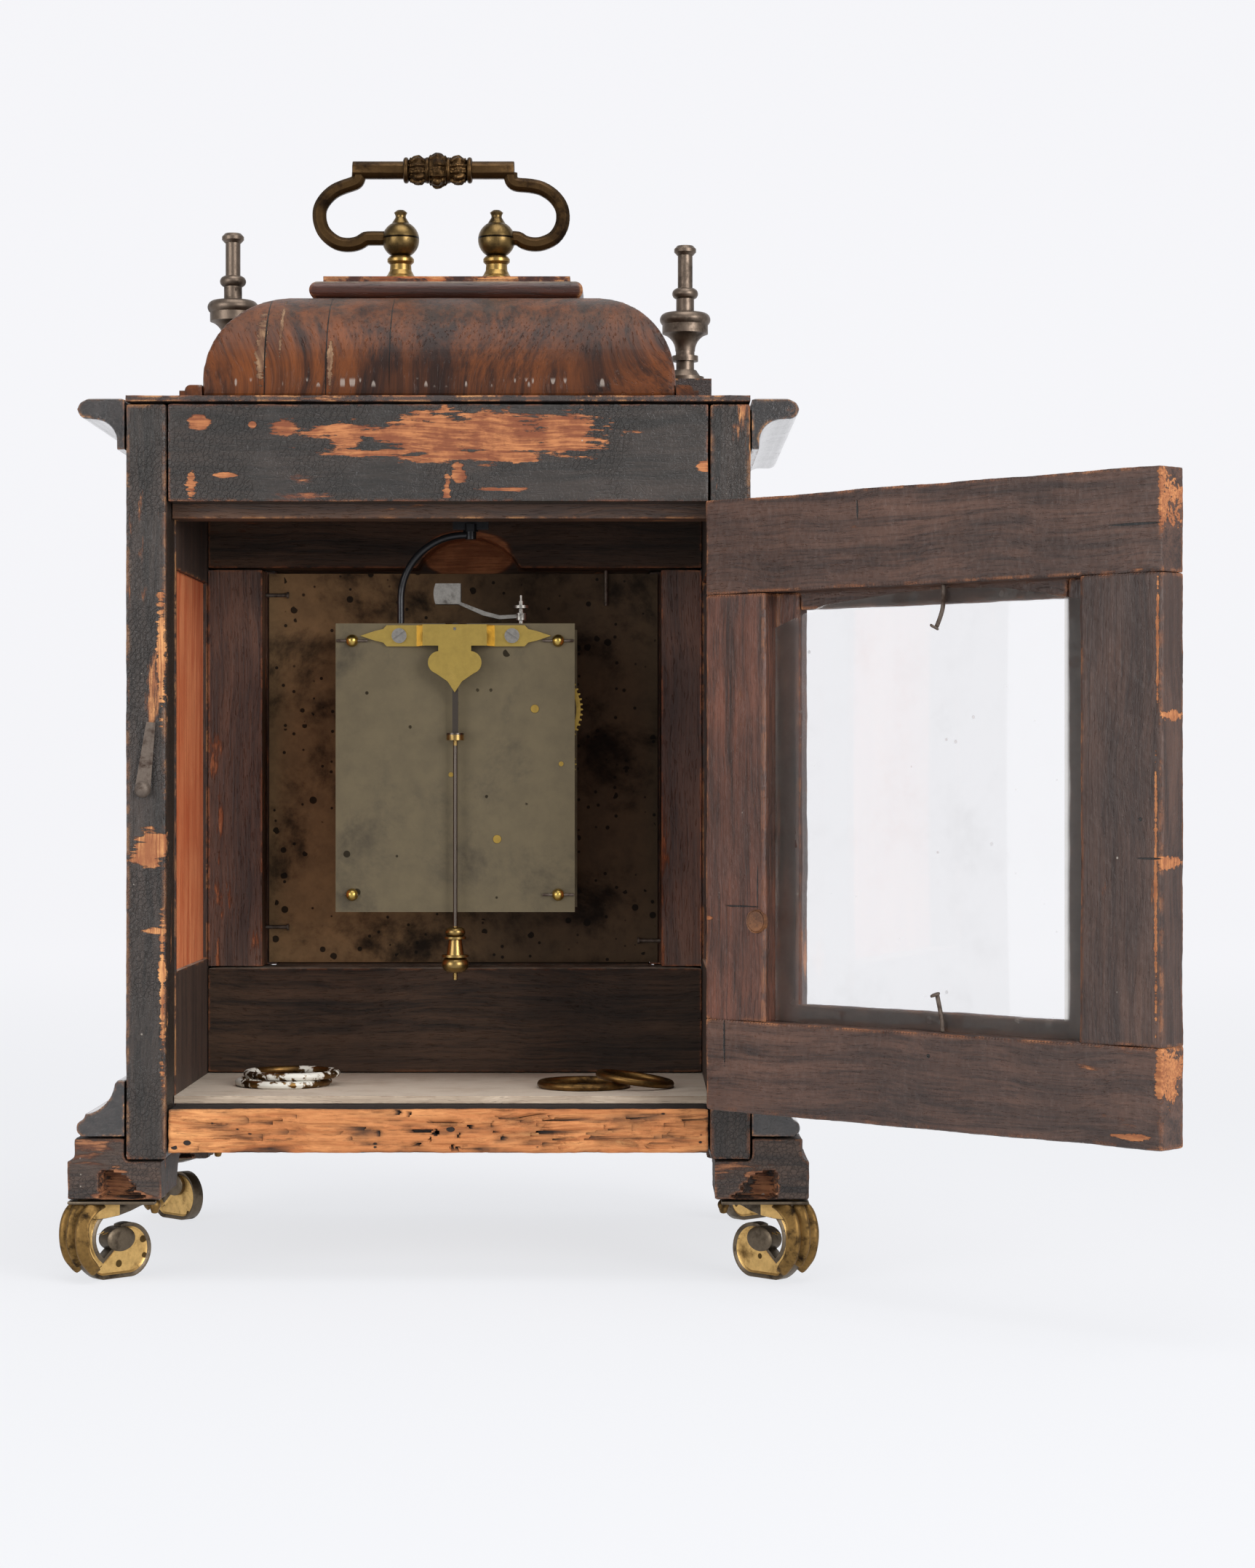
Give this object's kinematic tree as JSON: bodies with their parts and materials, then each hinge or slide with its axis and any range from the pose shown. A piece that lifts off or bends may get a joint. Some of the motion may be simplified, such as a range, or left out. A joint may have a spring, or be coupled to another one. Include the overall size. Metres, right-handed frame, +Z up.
{
  "type": "table clock",
  "caption": "Old ebonised table clock seen from the back: open glazed door, brass verge movement, cushion dome, bail handle, finials and gilt scroll feet.",
  "frame": {"origin": "centre between the four feet, on the surface that the clock stands on", "axes": "+Z up, +Y out of the clock's back, +X to the left of someone who looks at the back"},
  "size_m": [0.4266, 0.3825, 0.4665],
  "materials": {
    "ebonised_wood": "satin, worn",
    "worn_dark_wood": "worn, semi matt",
    "bare_wood": "bare, worm eaten",
    "stained_panel": "stained red",
    "floor_wood": "dusty",
    "walnut": "polished, worn",
    "mask_wood": "old, matt",
    "gilt_brass": "worn gilt",
    "bronze": "dark, patinated",
    "dull_brass": "dull",
    "bright_brass": "bright",
    "steel": "grey, filed",
    "black_iron": "black",
    "window_glass": "clear, dusty"
  },
  "bodies": {
    "case": {"rear_stiles": "ebonised_wood", "rear_top_rail": "worn_dark_wood", "rear_bottom_rail": "bare_wood", "door_stop_rail": "worn_dark_wood", "side_frame_left": "ebonised_wood", "side_frame_right": "ebonised_wood", "side_panels": "stained_panel", "front_rails": "ebonised_wood", "top_board": "ebonised_wood", "floor_board": "floor_wood", "cornice": "ebonised_wood", "base_moulding": "ebonised_wood", "plinth_front": "ebonised_wood", "plinth_sides": "ebonised_wood", "feet": "gilt_brass", "dome": "walnut", "dome_strips": "walnut", "platform": "walnut", "finial_blocks": "ebonised_wood", "finials": "bronze", "handle_posts": "gilt_brass", "mask_stiles": "mask_wood", "mask_rails": "mask_wood", "dial_plate": "dull_brass", "chapter_ring": "gilt_brass", "case_nails": "steel", "front_plate": "dull_brass", "back_plate": "dull_brass", "movement_pillars": "dull_brass", "pillar_pins": "steel", "back_cock": "bright_brass", "cock_screws": "steel", "arbor_brackets": "bright_brass", "bell_stand": "black_iron", "loose_rings": "bronze", "case_hinges": "steel"},
    "back_door": {"door_rails": "worn_dark_wood", "door_hinge_stile": "worn_dark_wood", "door_lock_stile": "worn_dark_wood", "door_glass": "window_glass", "door_nails": "steel", "door_hinge_leaves": "steel"},
    "front_door": {"front_door_frame": "ebonised_wood", "front_door_glass": "window_glass", "front_door_hinge_leaves": "bright_brass"},
    "handle": {"handle": "bronze"},
    "latch": {"latch": "steel"},
    "balance": {"verge": "steel", "pendulum": "bright_brass"},
    "great_arbor": {"great_wheel": "bright_brass"},
    "centre_arbor": {"centre_wheel": "bright_brass", "minute_hand": "steel"},
    "contrate_arbor": {"contrate_wheel": "bright_brass"},
    "crown_arbor": {"crown_wheel": "bright_brass"},
    "minute_arbor": {"minute_wheel": "bright_brass"},
    "hour_arbor": {"hour_wheel": "bright_brass", "hour_hand": "steel"},
    "alarm_great_arbor": {"alarm_great_wheel": "bright_brass"},
    "alarm_pin_arbor": {"alarm_pin_wheel": "bright_brass"},
    "hammer": {"hammer": "steel"}
  },
  "joints": [
    {"name": "back_door_hinge", "type": "hinge", "parent": "case", "child": "back_door", "pos_m": [-0.1125, 0.0962, 0.1912], "axis": [0, 0, 1], "range_deg": [-136.8, 35]},
    {"name": "front_door_hinge", "type": "hinge", "parent": "case", "child": "front_door", "pos_m": [0.1125, -0.0962, 0.1912], "axis": [0, 0, 1], "range_deg": [0, 110]},
    {"name": "handle_pivot", "type": "hinge", "parent": "case", "child": "handle", "pos_m": [0.0025, 0.0205, 0.429], "axis": [1, 0, 0], "range_deg": [-118, 118]},
    {"name": "latch_pivot", "type": "hinge", "parent": "case", "child": "latch", "pos_m": [0.1176, 0.0959, 0.1974], "axis": [0, 1, 0], "range_deg": [-83, 75]},
    {"name": "verge_swing", "type": "hinge", "parent": "case", "child": "balance", "pos_m": [-0.0038, 0.01, 0.264], "axis": [0, 1, 0], "range_deg": [-12, 12]},
    {"name": "centre_spin", "type": "hinge", "parent": "case", "child": "centre_arbor", "pos_m": [-0.0017, 0, 0.2035], "axis": [0, 1, 0], "continuous": true},
    {"name": "great_spin", "type": "hinge", "parent": "case", "child": "great_arbor", "pos_m": [-0.021, 0, 0.1766], "axis": [0, 1, 0], "continuous": true},
    {"name": "contrate_spin", "type": "hinge", "parent": "case", "child": "contrate_arbor", "pos_m": [-0.0038, 0, 0.2332], "axis": [0, 1, 0], "continuous": true},
    {"name": "crown_spin", "type": "hinge", "parent": "case", "child": "crown_arbor", "pos_m": [-0.0038, 0.006, 0.2564], "axis": [0, 0, 1], "continuous": true},
    {"name": "minute_spin", "type": "hinge", "parent": "case", "child": "minute_arbor", "pos_m": [0.0183, 0, 0.2035], "axis": [0, 1, 0], "continuous": true},
    {"name": "hour_spin", "type": "hinge", "parent": "case", "child": "hour_arbor", "pos_m": [-0.0017, 0, 0.2035], "axis": [0, 1, 0], "continuous": true},
    {"name": "alarm_great_spin", "type": "hinge", "parent": "case", "child": "alarm_great_arbor", "pos_m": [-0.0367, 0, 0.231], "axis": [0, 1, 0], "continuous": true},
    {"name": "alarm_pin_spin", "type": "hinge", "parent": "case", "child": "alarm_pin_arbor", "pos_m": [-0.0477, 0, 0.208], "axis": [0, 1, 0], "continuous": true},
    {"name": "hammer_pivot", "type": "hinge", "parent": "case", "child": "hammer", "pos_m": [-0.0305, 0.02, 0.2684], "axis": [0, 0, 1], "range_deg": [-10, 12], "stiffness_Nm_per_rad": 0.002}
  ],
  "couplings": [
    {"joint": "great_spin", "follows": "centre_spin", "ratio": -0.11111},
    {"joint": "contrate_spin", "follows": "centre_spin", "ratio": -7.5},
    {"joint": "crown_spin", "follows": "centre_spin", "ratio": -45},
    {"joint": "minute_spin", "follows": "centre_spin", "ratio": -0.33333},
    {"joint": "hour_spin", "follows": "centre_spin", "ratio": 0.083333},
    {"joint": "alarm_pin_spin", "follows": "alarm_great_spin", "ratio": -3.2941}
  ]
}
